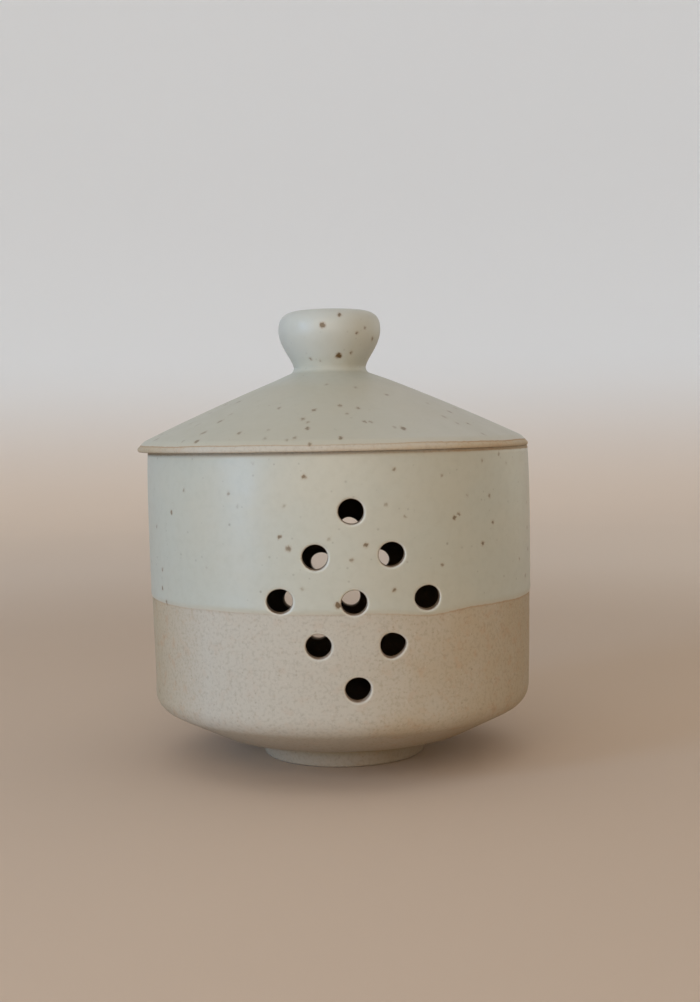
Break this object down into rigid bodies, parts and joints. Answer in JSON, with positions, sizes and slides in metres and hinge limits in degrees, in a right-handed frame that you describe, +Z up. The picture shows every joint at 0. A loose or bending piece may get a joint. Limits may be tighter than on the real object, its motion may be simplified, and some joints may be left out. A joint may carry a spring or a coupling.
{
  "type": "garlic keeper",
  "caption": "Round stoneware storage pot with punched vent holes, a turned foot and a lift-off conical lid with a flared knob.",
  "frame": {"origin": "centre of the foot ring's resting face", "axes": "+Z up along the pot's axis, -Y towards the side with the front group of vent holes"},
  "size_m": [0.1334, 0.133, 0.1514],
  "materials": {
    "glazed_stoneware": "satin",
    "bare_stoneware": "matte"
  },
  "bodies": {
    "pot": {"pot": "glazed_stoneware", "foot_ring": "bare_stoneware"},
    "lid": {"lid": "glazed_stoneware", "lid_flange": "bare_stoneware", "knob": "glazed_stoneware"}
  },
  "joints": [
    {"name": "lid_lift", "type": "slide", "parent": "pot", "child": "lid", "axis": [0, 0, 1], "range_m": [0, 0.06]}
  ]
}
